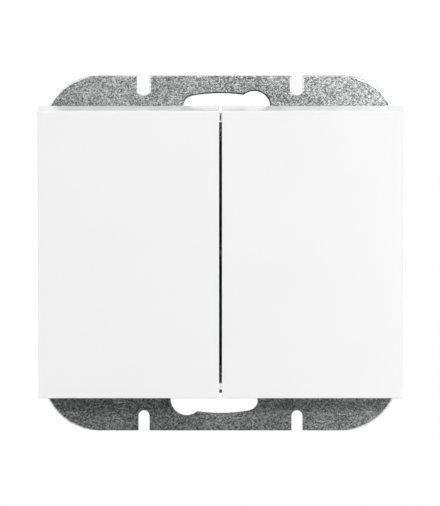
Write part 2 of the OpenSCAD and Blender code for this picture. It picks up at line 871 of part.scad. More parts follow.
// The profile of a sheet that comes down at the claw's arm and bends outwards, with its lower face at z0
module bent_sheet(z1, z0, x_end) {
    bend_x = claw_x1 + bend_r;
    bend_z = z0 + claw_t + bend_r;
    translate([claw_x0, bend_z]) square([claw_t, z1 - bend_z]);
    translate([bend_x, z0]) square([x_end - bend_x, claw_t]);
    translate([bend_x, bend_z]) intersection() {
        difference() {
            circle(bend_r + claw_t);
            circle(bend_r);
        }
        translate([-bend_r - claw_t, -bend_r - claw_t]) square(bend_r + claw_t);
    }
}

module claw(side) {
    foot_x1 = claw_x1 + claw_foot_l;
    tooth_w = claw_w / claw_teeth;
    lug_z0 = -claw_lug_depth - claw_t;
    lug_bend_z = -claw_lug_depth + bend_r;
    slit = fitting_play;
    color("silver") on_side(side) {
        translate([claw_x, 0, claw_z]) rotate([90, 0, 0]) cylinder(d = claw_t, h = trunnion_w, center = true);
        difference() {
            across(claw_w) bent_sheet(claw_z, -claw_reach, foot_x1);
            block([claw_x0 - through, -claw_lug_w / 2 - slit, lug_bend_z - claw_window_l],
                [claw_x1 + fuse, claw_lug_w / 2 + slit, lug_bend_z]);
        }
        difference() {
            across(claw_lug_w) bent_sheet(lug_bend_z + fuse, lug_z0, claw_lug_x1);
            slab(lug_z0 - through, -claw_lug_depth + through)
                round_slot(claw_slot_x0, claw_screw_x, claw_slot_w);
        }
        slab(-claw_reach, -claw_reach + claw_t) for (i = [0:claw_teeth - 1])
            translate([foot_x1 - fuse, i * tooth_w - claw_w / 2])
                polygon([[0, 0], [claw_tooth_l, tooth_w / 2], [0, tooth_w]]);
    }
}

module claw_nut(side) {
    color("silver") on_side(side) translate([claw_screw_x, 0, claw_nut_z]) difference() {
        rotate([90, 0, 0]) cylinder(d = claw_nut_d, h = claw_nut_l, center = true);
        cylinder(d = claw_screw_d + 2 * running_fit, h = 2 * claw_nut_d, center = true);
    }
}

module claw_screw(side) {
    color("lightsteelblue") on_side(side) translate([claw_screw_x, 0, plate_t])
        slotted_screw(claw_screw_d, plate_t - claw_screw_end_z, claw_head_d, claw_head_h);
}

upright() mounting_plate();
upright() base_housing();
upright() mechanism_cover();
upright() line_terminal();
upright() load_terminal(-1);  // left_load_terminal
upright() load_terminal(1);  // right_load_terminal
upright() fixed_contacts();
upright() rocker(-1);  // left_rocker
upright() rocker(1);  // right_rocker
upright() toggle(-1);  // left_toggle
upright() toggle(1);  // right_toggle
upright() plunger_spring(-1);  // left_spring
upright() plunger_spring(1);  // right_spring
upright() plunger(-1);  // left_plunger
upright() plunger(1);  // right_plunger
upright() contact_arm(-1);  // left_contact_arm
upright() contact_arm(1);  // right_contact_arm
upright() contact_tip(-1);  // left_contact_tip
upright() contact_tip(1);  // right_contact_tip
upright() terminal_screw(-1, 1);  // upper_left_terminal_screw
upright() terminal_screw(1, 1);  // upper_right_terminal_screw
upright() terminal_screw(-1, -1);  // lower_left_terminal_screw
upright() terminal_screw(1, -1);  // lower_right_terminal_screw
upright() claw(-1);  // left_claw
upright() claw(1);  // right_claw
upright() claw_nut(-1);  // left_claw_nut
upright() claw_nut(1);  // right_claw_nut
upright() claw_screw(-1);  // left_claw_screw
upright() claw_screw(1);  // right_claw_screw
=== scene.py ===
"""Looks of the two-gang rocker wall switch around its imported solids: pieces, finishes, studio and camera.

Keys and springs are drawn in millimetres in a wall frame, with x to the right, y up and z out of the wall,
and are then stood upright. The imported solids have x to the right, y into the wall and z up.
"""
import json
import math

import bmesh
import bpy
from mathutils import Matrix, Vector

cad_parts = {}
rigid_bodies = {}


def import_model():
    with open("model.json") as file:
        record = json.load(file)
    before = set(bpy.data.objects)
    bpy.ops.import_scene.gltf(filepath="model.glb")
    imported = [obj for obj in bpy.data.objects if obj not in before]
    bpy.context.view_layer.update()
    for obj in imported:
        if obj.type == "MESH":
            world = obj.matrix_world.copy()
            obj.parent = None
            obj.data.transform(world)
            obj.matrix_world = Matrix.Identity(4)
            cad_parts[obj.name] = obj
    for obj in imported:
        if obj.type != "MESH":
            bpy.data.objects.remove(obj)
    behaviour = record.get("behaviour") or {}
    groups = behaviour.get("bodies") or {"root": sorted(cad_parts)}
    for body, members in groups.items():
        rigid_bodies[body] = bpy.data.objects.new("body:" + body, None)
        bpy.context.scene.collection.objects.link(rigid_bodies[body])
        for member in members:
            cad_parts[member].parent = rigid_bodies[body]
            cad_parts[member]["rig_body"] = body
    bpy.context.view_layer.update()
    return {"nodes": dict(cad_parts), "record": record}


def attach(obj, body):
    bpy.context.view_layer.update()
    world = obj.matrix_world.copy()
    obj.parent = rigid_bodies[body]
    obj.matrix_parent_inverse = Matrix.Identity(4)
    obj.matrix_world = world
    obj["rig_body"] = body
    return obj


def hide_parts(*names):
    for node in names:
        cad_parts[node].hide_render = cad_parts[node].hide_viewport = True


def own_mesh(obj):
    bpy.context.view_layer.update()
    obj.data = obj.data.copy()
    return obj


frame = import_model()

nodes = frame["nodes"]
slot_of = {row["node"]: row["material_slot"] for row in frame["record"]["subparts"]}

# Measures are in millimetres and angles in radians, except where a heading says otherwise
MM = 0.001
MICROMETRE = 1e-6
UPRIGHT = Matrix.Rotation(math.radians(90), 3, "X")
MERGE = 0.002
FLAT_ANGLE, SHARP_ANGLE = math.radians(0.5), math.radians(32)
CORNER_ANGLE, CLEAR_CORNER, RIM_CORNER = math.radians(35), math.radians(50), math.radians(60)
BREAK_STEPS = 2
# Name of the face attribute that carries the painted highlight on the plate's rolled edge band
EDGE_HIGHLIGHT_LAYER = "painted_edge_highlight"

# Rocker keys, drawn level and for the right side
KEY_X0, KEY_X1 = 0.275, 35.975
KEY_HALF_H = 28.45
KEY_RIM_Z, KEY_INSIDE_Z, KEY_FACE_Z = 3.966, 10.6, 12.2
KEY_WALL = 1.6
KEY_END_LEAN, KEY_SIDE_LEAN = 0.57, 0.17
KEY_EDGE_R, KEY_EDGE_STEPS, KEY_RIM_BREAK = 0.2, 6, 0.12
KEY_TILT = math.radians(5)
AXLE = Vector((0, 0, 7.5))
GANG_X = 10

# Notches in the wall along the gap: half their height, and the z at which they end
RELIEFS = ((23.5, 6.068), (3.25, 10.35))

# Opposite corners of what stands inside one end of a key, sunk a little into its ceiling and walls
SINK = 0.05
CEILING_Z = KEY_INSIDE_Z + SINK
CLIP_Y, CLIP_FOOT_Z, HOOK_LEAD_IN = 8.1, 7.15, 0.8
CLIP = ((5.5, CLIP_Y, CLIP_FOOT_Z), (14.5, 9.5, CEILING_Z))
HOOK = ((5.5, 7.3, CLIP_FOOT_Z), (14.5, CLIP_Y + SINK, 8.25))
RIB = ((KEY_X0 + KEY_WALL - SINK, 18.925, 8.8), (KEY_X1 - KEY_WALL + SINK, 19.925, CEILING_Z))
SEAT = ((4, 5, 9.9), (16, 8, CEILING_Z))

# Opposite corners of the spacer nibs in the gap: the upper nib, the stop at its lower end, the lower nib
NIB_ROOT_X, STOP_X = KEY_X0 + SINK, 0.02
NIB_FOOT_Z, STOP_Z = 5.566, 12.1
SPACER_NIBS = (
    ((0.15, 26.15, NIB_FOOT_Z), (NIB_ROOT_X, 28, 11.75)),
    ((STOP_X, 26.25, NIB_FOOT_Z), (NIB_ROOT_X, 26.45, STOP_Z)),
    ((STOP_X, -26.7, NIB_FOOT_Z), (NIB_ROOT_X, -25.5, STOP_Z)),
)

# Mounting plate
PLATE_HALF, CORNER_CENTRE, PLATE_FRONT_Y = 35.5, 24.5, -1.0
# The last value is a painted highlight: the share by which the rolled band along the top edge is painted
# lighter
EDGE_ROLL, EDGE_STEPS, TOP_EDGE_HIGHLIGHT = 0.18, 5, 0.4
CORNER_ROLL, CORNER_FADE = 0.36, math.radians(20)
SLOT_X, SLOT_R, SLOT_END_Z = 15.3, 1.1, 32.6
SLOT_ROLL, SLOT_FADE = 0.3, 1.1
CURVED_SLOT_X, CURVED_SLOT_Z = 10.3, 25.0
CURVED_SLOT_ROLL, CURVED_SLOT_STEPS = 0.3, 4
BACK_BREAK = 0.12

# Hollow of the housing
CAVITY_X, CAVITY_Y, CAVITY_Z = 19.45, 20.25, 18.95

# Screws
CLAW_SCREW_X, CLAW_SCREW_R, CLAW_PITCH = 27.0, 1.5, 0.5
CLAW_UNDERHEAD_Z, CLAW_TIP_Z = 1.0, -10.9
TERMINAL_SCREW_R, TERMINAL_PITCH = 1.7, 0.6
TERMINAL_Z, TERMINAL_UNDERHEAD_Y, TERMINAL_TIP_Y = -16.7, 22.05, 17.05
SHANK_TOP, HEAD_FOOT, HEAD_BREAK = -0.02, -0.05, 0.1
TIP_LEAD, TIP_SHARE = 0.7, 0.82
THREAD_STEPS = 40

# Threads, in shares of the pitch: their depth, and how high the root ends and the crest starts and ends
THREAD_DEPTH, ROOT_END, CREST_START, CREST_END = 0.58, 0.2, 0.52, 0.68

# Plunger springs
SPRING_R, SPRING_WIRE, SPRING_TURNS = 1.75, 0.5, 6
SPRING_Z0, SPRING_Z1 = -2.95, 3.45
SPRING_STEPS, WIRE_SIDES = 32, 12

# Zinc on the plate: sizes of its marks, their parts in its tone, its colours, its relief in micrometres
ZINC_GRAIN, ZINC_CRYSTAL, ZINC_CLOUD, ZINC_SCRATCH = 0.16, 0.26, 28.0, 1.2
# The first value moves the zinc clouds so that their lighter and darker patches also paint light and shade
# on the plate
PAINTED_LIGHT_CLOUD_SHIFT, SCRATCH_STRETCH = (235, 35, 140), (0.2, 1, 4.0)
# The last share is a painted highlight: how much lighter the rolled edge band is painted
GRAIN_SHARE, CRYSTAL_SHARE, EDGE_HIGHLIGHT_SHARE = 0.77, 0.23, 0.3
CLOUD_TONES, SCRATCH_EDGE, SCRATCH_TONE = (-0.1, 0.3), (0.66, 0.76), 0.15
ZINC_COLOURS = (
    (0.44, (0.070, 0.072, 0.072)),
    (0.60, (0.265, 0.272, 0.271)),
    (0.76, (0.56, 0.57, 0.57)),
    (0.90, (0.90, 0.91, 0.91)),
)
ZINC_ROUGHNESS, ZINC_RELIEF = (0.3, 0.38), 12

# Other metals and mouldings, and the values between which most of a noise lies
TARNISH_SIZE, TARNISH_SHARE, METAL_GRAIN_SHARE = 2.2, 0.8, 0.2
MARK_SIZE, MARK_STRETCH, MARK_EDGE, MARK_TONE = 0.25, (1, 0.15, 1), (0.62, 0.75), 0.25
FLOW_SIZE, FLOW_SHARE, TEXTURE_SHARE = 14.0, 0.6, 0.4
DULL_TONE, BRIGHT_TONE = 0.35, 0.62
NOISE_LOW, NOISE_HIGH = 0.3, 0.7

# Studio levels, and the pairs of direction values between which they change
ROOM_LEVEL = 0.06
FRONT_END = (-0.15, 0.1)
SKY_LEVEL, SKY_RISE, SKY_FALL, SKY_TOP = 1.0, (0.08, 0.28), (0.45, 0.75), 0.5
SKY_BACK, SKY_BEHIND = (-0.1, 0.3), 0.3
BOX_LEVEL, BOX_EDGE, BOX_FOOT, BOX_HEAD = 1.6, (0.42, 0.55), (-0.05, 0.12), (0.5, 0.7)
WALL_LEVEL, WALL_EDGE, WALL_END, WALL_FOOT = 1.78, (0.4, 0.55), (0.8, 0.93), (-0.7, -0.1)
CARD_LEVEL, CARD_EDGE, CARD_END, CARD_SLANT = 2.5, (0.019, 0.045), (0.1, 0.16), 0.053
CARD_FOOT, CARD_HEAD = (-0.32, -0.26), (-0.12, -0.06)
BACKDROP_LEVEL, BACKDROP_START = 0.8, (-0.1, 0.5)
BACKDROP_RISE, BACKDROP_TOP = (0.4, 0.7), 0.8
WHITE_START = (0.0, 0.2)

# Lamp, floor and camera, in metres and watts, with the floor's grain and the sensor in millimetres
LAMP_PLACE, LAMP_SIZE, LAMP_WATTS = (0.1, -0.42, 0.13), 0.1, 0.53
FLOOR_HALF, FLOOR_Z = 1.6, -1.1
FLOOR_GRAIN, FLOOR_ROUGHNESS = 60.0, 0.7
FLOOR_COLOURS = ((NOISE_LOW, (0.74, 0.74, 0.74)), (NOISE_HIGH, (0.78, 0.78, 0.78)))
CAMERA_X, CAMERA_DISTANCE, SEEN_HEIGHT = -0.0001, 0.8, 0.1012
VIEW_START, VIEW_END = 0.01, 100
SENSOR_WIDTH = 36


# Working on a bmesh

def block(bm, low, high):
    """A box between two opposite corners; returns its vertices."""
    low, high = Vector(low), Vector(high)
    made = bmesh.ops.create_cube(bm, size=1)["verts"]
    bmesh.ops.scale(bm, vec=high - low, verts=made)
    bmesh.ops.translate(bm, vec=(low + high) / 2, verts=made)
    return made


def round_edges(bm, edges, width, segments):
    """Rounds edges; returns the new faces."""
    return bmesh.ops.bevel(
        bm, geom=edges, offset=width, offset_type="OFFSET", segments=segments, profile=0.5,
        affect="EDGES", clamp_overlap=False, material=-1,
    )["faces"]


def outer_corners(bm, least_angle=CORNER_ANGLE):
    """The convex edges that turn by more than least_angle."""
    return [e for e in bm.edges if e.is_manifold and e.is_convex and e.calc_face_angle() > least_angle]


def open_rims(bm):
    return [e for e in bm.edges if e.is_boundary]


def join_flat_faces(bm):
    bmesh.ops.dissolve_limit(
        bm, angle_limit=FLAT_ANGLE, use_dissolve_boundaries=False, verts=bm.verts, edges=bm.edges,
    )


def cut_off(bm, place, way):
    """Cuts away what lies beyond a plane, on the side that way points to, and closes the cut."""
    everything = list(bm.verts) + list(bm.edges) + list(bm.faces)
    bmesh.ops.bisect_plane(bm, geom=everything, plane_co=place, plane_no=way, clear_outer=True)
    bmesh.ops.holes_fill(bm, edges=open_rims(bm), sides=0)


def solid_copy(node):
    """A CAD node's mesh in millimetres, in its packed place, merged and with its flat faces whole."""
    bm = bmesh.new()
    bm.from_mesh(nodes[node].data)
    bmesh.ops.scale(bm, vec=(1 / MM,) * 3, verts=bm.verts)
    bmesh.ops.remove_doubles(bm, verts=bm.verts, dist=MERGE)
    join_flat_faces(bm)
    return bm


def finish_piece(name, bm, node, material):
    """Turns a bmesh in millimetres into a smooth piece that stands for a CAD node and rides on its body."""
    bmesh.ops.scale(bm, vec=(MM,) * 3, verts=bm.verts)
    mesh = bpy.data.meshes.new(name)
    bm.to_mesh(mesh)
    bm.free()
    mesh.shade_smooth()
    mesh.set_sharp_from_angle(angle=SHARP_ANGLE)
    mesh.materials.append(material)
    piece = bpy.data.objects.new(name, mesh)
    bpy.context.scene.collection.objects.link(piece)
    even = piece.modifiers.new("even_shading", "WEIGHTED_NORMAL")
    even.keep_sharp = True
    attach(piece, nodes[node]["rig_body"])
    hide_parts(node)
    return piece


# Rocker keys

def tilt_and_stand(bm, side):
    """Tilts what is drawn for the right key into its rest pose, puts it on its side and stands it up."""
    bmesh.ops.rotate(bm, cent=AXLE, matrix=Matrix.Rotation(KEY_TILT, 3, "X"), verts=bm.verts)
    bmesh.ops.scale(bm, vec=(side, 1, 1), verts=bm.verts)
    bmesh.ops.rotate(bm, cent=(0, 0, 0), matrix=UPRIGHT, verts=bm.verts)
    bmesh.ops.recalc_face_normals(bm, faces=bm.faces)


def lean_out(bm, verts, way):
    """Moves the corners of a key's rim apart, or back together, by the lean of its walls."""
    for v in verts:
        side = KEY_SIDE_LEAN if v.co.x > GANG_X else 0
        lean = (way * side, way * math.copysign(KEY_END_LEAN, v.co.y), 0)
        bmesh.ops.translate(bm, vec=lean, verts=[v])


def on_inner_wall(face):
    """Whether a face lies on the wall along the gap."""
    return all(v.co.x < KEY_X0 + KEY_WALL + MERGE for v in face.verts)


def cut_inner_wall(bm):
    """Notches the wall along the gap, where the mechanism cover and its middle bearing pass under it."""
    def wall_geometry():
        faces = [f for f in bm.faces if on_inner_wall(f)]
        return faces + list({e for f in faces for e in f.edges}) + list({v for f in faces for v in f.verts})

    for half, top in RELIEFS:
        for y in (-half, half):
            bmesh.ops.bisect_plane(bm, geom=wall_geometry(), plane_co=(0, y, 0), plane_no=(0, 1, 0))
        bmesh.ops.bisect_plane(bm, geom=wall_geometry(), plane_co=(0, 0, top), plane_no=(0, 0, 1))

    def in_notch(face):
        middle = face.calc_center_median()
        within = any(abs(middle.y) < half and middle.z < top for half, top in RELIEFS)
        return within and on_inner_wall(face)

    bmesh.ops.delete(bm, geom=[f for f in bm.faces if in_notch(f)], context="FACES")
    outline = [e for e in open_rims(bm) if abs(e.verts[0].co.x - e.verts[1].co.x) < MERGE]
    bmesh.ops.bridge_loops(bm, edges=outline)


def key_shell(bm):
    """The hollow key with leaning walls, its notches, rounded outer edges and a broken rim."""
    shell = block(bm, (KEY_X0, -KEY_HALF_H, KEY_RIM_Z), (KEY_X1, KEY_HALF_H, KEY_FACE_Z))
    rim = [v for v in shell if v.co.z < KEY_INSIDE_Z]
    lean_out(bm, rim, 1)
    mouth = next(f for f in bm.faces if all(v in rim for v in f.verts))
    bmesh.ops.inset_region(bm, faces=[mouth], thickness=KEY_WALL, use_even_offset=True)
    room = bmesh.ops.extrude_face_region(bm, geom=[mouth])["geom"]
    bmesh.ops.delete(bm, geom=[mouth], context="FACES_ONLY")
    ceiling = [v for v in room if isinstance(v, bmesh.types.BMVert)]
    bmesh.ops.translate(bm, vec=(0, 0, KEY_INSIDE_Z - KEY_RIM_Z), verts=ceiling)
    lean_out(bm, ceiling, -1)
    cut_inner_wall(bm)
    join_flat_faces(bm)
    bmesh.ops.recalc_face_normals(bm, faces=bm.faces)

    def on_rim(edge):
        return all(v.co.z < KEY_RIM_Z + MERGE for v in edge.verts)

    def on_outside(vert):
        return vert.co.z > KEY_FACE_Z - MERGE or abs(vert.co.y) > KEY_HALF_H - MERGE

    outside = [e for e in outer_corners(bm) if all(map(on_outside, e.verts)) and not on_rim(e)]
    round_edges(bm, outside, KEY_EDGE_R, KEY_EDGE_STEPS)
    round_edges(bm, [e for e in outer_corners(bm, RIM_CORNER) if on_rim(e)], KEY_RIM_BREAK, BREAK_STEPS)


def key_mesh(side):
    """A key's shell with clips, hooks, ribs and seats inside and spacer nibs along the gap."""
    bm = bmesh.new()
    key_shell(bm)
    for end in (-1, 1):
        for corners in (CLIP, HOOK, RIB, SEAT):
            made = block(bm, *corners)
            if corners is HOOK:
                lead_in = [v for v in made if v.co.y < CLIP_Y and v.co.z < CLIP_FOOT_Z + MERGE]
                bmesh.ops.translate(bm, vec=(0, 0, HOOK_LEAD_IN), verts=lead_in)
            bmesh.ops.scale(bm, vec=(1, end, 1), verts=made)
    for corners in SPACER_NIBS:
        block(bm, *corners)
    tilt_and_stand(bm, side)
    return bm


# Threaded screws and wound springs

def thread(bm, radius, pitch, length):
    """A threaded surface along z, open at both ends, that reaches past -length below and past 0 above."""
    root = radius - THREAD_DEPTH * pitch
    section = []
    for turn in range(math.ceil(length / pitch) + 2):
        z = -length - pitch + turn * pitch
        for r, rise in ((root, 0), (root, ROOT_END), (radius, CREST_START), (radius, CREST_END)):
            section.append(bm.verts.new((r, 0, z + rise * pitch)))
    line = [bm.edges.new(pair) for pair in zip(section, section[1:])]
    bmesh.ops.spin(
        bm, geom=section + line, cent=(0, 0, 0), axis=(0, 0, 1), dvec=(0, 0, pitch / THREAD_STEPS),
        angle=math.tau, steps=THREAD_STEPS, use_merge=False,
    )
    bmesh.ops.remove_doubles(bm, verts=bm.verts, dist=MERGE)


def threaded_screw(node, radius, pitch, length, place):
    """The CAD screw's head on a threaded shank, drawn along -z below the head and put in its place."""
    shank = bmesh.new()
    thread(shank, radius, pitch, length)
    cut_off(shank, (0, 0, -length), (0, 0, -1))
    cut_off(shank, (0, 0, SHANK_TOP), (0, 0, 1))
    for v in shank.verts:
        lead = min((v.co.z + length) / TIP_LEAD, 1)
        v.co.xy *= TIP_SHARE + (1 - TIP_SHARE) * lead
    bmesh.ops.recalc_face_normals(shank, faces=shank.faces)
    bmesh.ops.transform(shank, matrix=place, verts=shank.verts)

    head = solid_copy(node)
    cut_off(head, place @ Vector((0, 0, HEAD_FOOT)), place.to_3x3() @ Vector((0, 0, -1)))
    round_edges(head, outer_corners(head), HEAD_BREAK, BREAK_STEPS)
    part = bpy.data.meshes.new("shank")
    shank.to_mesh(part)
    shank.free()
    head.from_mesh(part)
    bpy.data.meshes.remove(part)
    return head


def wound_spring(side):
    """Round wire wound on a helix, in the tilted stem of its toggle."""
    bm = bmesh.new()
    wire = bmesh.ops.create_circle(bm, radius=SPRING_WIRE / 2, segments=WIRE_SIDES)["verts"]
    bmesh.ops.rotate(bm, cent=(0, 0, 0), matrix=UPRIGHT, verts=wire)
    bmesh.ops.translate(bm, vec=(SPRING_R, 0, SPRING_Z0 + SPRING_WIRE / 2), verts=wire)
    steps = SPRING_TURNS * SPRING_STEPS
    rise = (SPRING_Z1 - SPRING_Z0 - SPRING_WIRE) / steps
    bmesh.ops.spin(
        bm, geom=list(bm.verts) + list(bm.edges), cent=(0, 0, 0), axis=(0, 0, 1), dvec=(0, 0, rise),
        angle=SPRING_TURNS * math.tau, steps=steps, use_merge=False,
    )
    bmesh.ops.holes_fill(bm, edges=open_rims(bm), sides=0)
    bmesh.ops.translate(bm, vec=(GANG_X, 0, 0), verts=bm.verts)
    tilt_and_stand(bm, side)
    return bm


def squeeze_spring(piece):
    """Gives a spring piece its own mesh data; the pressing of the spring by the plunger's travel, against
    the blind end of its bore, is not set up here.
    """
    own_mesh(piece)


# Stamped plate

def corner_share(place):
    """0 along the plate's straight sides, rising to 1 round its corners."""
    across, up = abs(place.x) - CORNER_CENTRE, abs(place.z) - CORNER_CENTRE
    if across < 0 or up < 0:
        return 0
    turned = math.atan2(up, across)
    return min(1, min(turned, math.pi / 2 - turned) / CORNER_FADE)


def slot_share(place):
    """1 along the straight sides of the upper edge slots, fading to 0 round their ends."""
    if abs(abs(place.x) - SLOT_X) >= SLOT_R + SLOT_ROLL:
        return 0
    return min(1, max(0, 1 - (SLOT_END_Z - place.z) / SLOT_FADE))


def roll_further(v, middle, radius, share, roll):
    """Widens the rolled edge at a point, away from the sharp edge at a radius round the middle."""
    sharp = middle + (v.co - middle).normalized() * radius
    sharp.y = PLATE_FRONT_Y
    v.co = sharp.lerp(v.co, 1 + share * (roll / EDGE_ROLL - 1))


def widen_rolls(verts):
    """Rolls the edge further round the corners and along the sides of the upper edge slots."""
    for v in verts:
        x, y, z = v.co
        round_corner, beside_slot = corner_share(v.co), slot_share(v.co)
        if round_corner > 0:
            middle = Vector((math.copysign(CORNER_CENTRE, x), y, math.copysign(CORNER_CENTRE, z)))
            roll_further(v, middle, PLATE_HALF - CORNER_CENTRE, round_corner, CORNER_ROLL)
        if beside_slot > 0:
            middle = Vector((math.copysign(SLOT_X, x), y, max(SLOT_END_Z, z)))
            roll_further(v, middle, SLOT_R, beside_slot, SLOT_ROLL)


def plate_mesh():
    """The plate, with its outline and its curved slots rolled in front and a slight break at the back, and
    a painted highlight share on parts of the rolled outline band.
    """
    bm = solid_copy("mounting_plate")
    # Layer for the painted highlight share of each face of the rolled band
    rolled = bm.faces.layers.float.new(EDGE_HIGHLIGHT_LAYER)

    def in_front(vert):
        return abs(vert.co.y - PLATE_FRONT_Y) < MERGE

    def at_curved_slot(vert):
        return abs(vert.co.z) > CURVED_SLOT_Z and abs(vert.co.x) < CURVED_SLOT_X

    front = {e for e in outer_corners(bm, CLEAR_CORNER) if all(map(in_front, e.verts))}
    outline = {e for e in front if any(abs(v.co.z) > PLATE_HALF - MERGE for v in e.verts)}
    reached = 0
    while len(outline) > reached:
        reached = len(outline)
        outline |= {e for e in front if any(other in outline for v in e.verts for other in v.link_edges)}
    curved_slots = [e for e in front - outline if all(map(at_curved_slot, e.verts))]
    round_edges(bm, curved_slots, CURVED_SLOT_ROLL, CURVED_SLOT_STEPS)
    band = round_edges(bm, list(outline), EDGE_ROLL, EDGE_STEPS)
    # Painted highlight: the rolled band is painted lighter round the corners and beside the upper edge
    # slots, less along the top edge, and not along the sides and bottom
    for face in band:
        middle = face.calc_center_median()
        on_top = TOP_EDGE_HIGHLIGHT if middle.z > PLATE_HALF - EDGE_ROLL else 0
        face[rolled] = max(corner_share(middle), slot_share(middle), on_top)
    widen_rolls({v for f in band for v in f.verts})
    back = [e for e in outer_corners(bm, CLEAR_CORNER) if all(abs(v.co.y) < MERGE for v in e.verts)]
    round_edges(bm, back, BACK_BREAK, BREAK_STEPS)
    return bm


# Mouldings, pressings and rivets

def out_of_sight(edge):
    """Whether an edge lies in the housing's hollow, or in front of it and under the keys."""
    return all(
        abs(v.co.x) < CAVITY_X and v.co.y < CAVITY_Y and abs(v.co.z) < CAVITY_Z for v in edge.verts
    )


def softened_solid(node, width):
    """A CAD node with a break along the outer edges that can be seen."""
    bm = solid_copy(node)
    seen = [e for e in outer_corners(bm, CLEAR_CORNER) if not out_of_sight(e)]
    round_edges(bm, seen, width, BREAK_STEPS)
    return bm


# Working with shader nodes

def feed(tree, socket, value):
    """Links a socket to another one, or sets it to a plain value."""
    if isinstance(value, bpy.types.NodeSocket):
        tree.links.new(value, socket)
    else:
        socket.default_value = value


def add_node(tree, kind, settings=None, **inputs):
    node = tree.nodes.new(kind)
    for name, value in (settings or {}).items():
        setattr(node, name, value)
    for name, value in inputs.items():
        feed(tree, node.inputs[name.replace("_", " ")], value)
    return node


def combine(tree, kind, *values):
    """A sum, product or other operation on values."""
    node = add_node(tree, "ShaderNodeMath", {"operation": kind})
    for socket, value in zip(node.inputs, values):
        feed(tree, socket, value)
    return node.outputs[0]


def product(tree, *values):
    result = values[0]
    for value in values[1:]:
        result = combine(tree, "MULTIPLY", result, value)
    return result


def weighed(tree, first, first_share, second, second_share):
    """Two values added up, each in its share."""
    return combine(tree, "ADD", product(tree, first, first_share), product(tree, second, second_share))


def spread(tree, value, low, high, to_low, to_high):
    """Maps low to high onto to_low to to_high, and stays within these."""
    return add_node(
        tree, "ShaderNodeMapRange",
        Value=value, From_Min=low, From_Max=high, To_Min=to_low, To_Max=to_high,
    ).outputs[0]


def rising(tree, value, limits, level=1.0):
    """0 below the limits and level above them."""
    return spread(tree, value, *limits, 0.0, level)


def falling(tree, value, limits, rest=0.0):
    """1 below the limits and rest above them."""
    return spread(tree, value, *limits, 1.0, rest)


def colours(tree, value, stops):
    """A colour for each value, from stops of a position and a colour."""
    ramp = add_node(tree, "ShaderNodeValToRGB", Fac=value)
    points = ramp.color_ramp.elements
    while len(points) < len(stops):
        points.new(0.5)
    for point, (position, colour) in zip(points, stops):
        point.position = position
        point.color = (*colour, 1)
    return ramp.outputs[0]


def stretched(tree, place, scale):
    return add_node(tree, "ShaderNodeMapping", Vector=place, Scale=scale).outputs[0]


def moved(tree, place, by):
    """A pattern's place, moved by millimetres."""
    metres = [step * MM for step in by]
    return add_node(tree, "ShaderNodeMapping", Vector=place, Location=metres).outputs[0]


def grain(tree, place, size, detail=2.0, distortion=0.0):
    """Noise with features of about size millimetres."""
    return add_node(
        tree, "ShaderNodeTexNoise",
        Vector=place, Scale=1 / (size * MM), Detail=detail, Distortion=distortion,
    ).outputs[0]


def crystal_tones(tree, place, size):
    """One tone for each crystal of about size millimetres, with crooked borders."""
    scale = 1 / (size * MM)
    bends = add_node(tree, "ShaderNodeTexNoise", Vector=place, Scale=scale).outputs["Color"]
    bent = add_node(tree, "ShaderNodeVectorMath", {"operation": "MULTIPLY_ADD"})
    for socket, value in zip(bent.inputs, (bends, (size * MM,) * 3, place)):
        feed(tree, socket, value)
    cells = add_node(tree, "ShaderNodeTexVoronoi", Vector=bent.outputs[0], Scale=scale).outputs["Color"]
    return add_node(tree, "ShaderNodeSeparateColor", Color=cells).outputs[0]


# Finishes

def new_finish(name, metallic):
    material = bpy.data.materials.new(name)
    material.use_nodes = True
    tree = material.node_tree
    shader = tree.nodes["Principled BSDF"]
    shader.inputs["Metallic"].default_value = metallic
    place = add_node(tree, "ShaderNodeTexCoord").outputs["Object"]
    return material, tree, shader, place


def set_look(tree, shader, colour, roughness, height, depth):
    """Joins colour, roughness and relief to the shader. depth is the relief's depth in micrometres."""
    relief = add_node(tree, "ShaderNodeBump", Height=height, Distance=depth * MICROMETRE, Strength=1.0)
    feed(tree, shader.inputs["Base Color"], colour)
    feed(tree, shader.inputs["Roughness"], roughness)
    feed(tree, shader.inputs["Normal"], relief.outputs[0])


def galvanised_sheet(name):
    """Hot-dip zinc on sheet: fine crystals, soft clouds also placed as painted light and shade, short
    scratches, and a painted highlight on parts of the rolled edge.
    """
    material, tree, shader, place = new_finish(name, 1.0)
    fine = grain(tree, place, ZINC_GRAIN, detail=3.0, distortion=0.2)
    crystals = crystal_tones(tree, place, ZINC_CRYSTAL)
    # The clouds are random zinc tone, moved so that they also paint light and shade on the plate
    clouds = grain(tree, moved(tree, place, PAINTED_LIGHT_CLOUD_SHIFT), ZINC_CLOUD)
    streaks = grain(tree, stretched(tree, place, SCRATCH_STRETCH), ZINC_SCRATCH, detail=1.0)
    mottle = weighed(tree, fine, GRAIN_SHARE, crystals, CRYSTAL_SHARE)
    mottle = combine(tree, "ADD", mottle, spread(tree, clouds, 0.0, 1.0, *CLOUD_TONES))
    mottle = combine(tree, "ADD", mottle, rising(tree, streaks, SCRATCH_EDGE, SCRATCH_TONE))
    # Painted highlight: rolled reads the share by which the rolled edge band is painted lighter
    rolled = add_node(tree, "ShaderNodeAttribute", {"attribute_name": EDGE_HIGHLIGHT_LAYER}).outputs["Fac"]
    tone = combine(tree, "ADD", mottle, product(tree, rolled, EDGE_HIGHLIGHT_SHARE))
    both = combine(tree, "ADD", clouds, fine)
    roughness = spread(tree, both, 2 * NOISE_LOW, 2 * NOISE_HIGH, *ZINC_ROUGHNESS)
    set_look(tree, shader, colours(tree, tone, ZINC_COLOURS), roughness, mottle, ZINC_RELIEF)
    return material


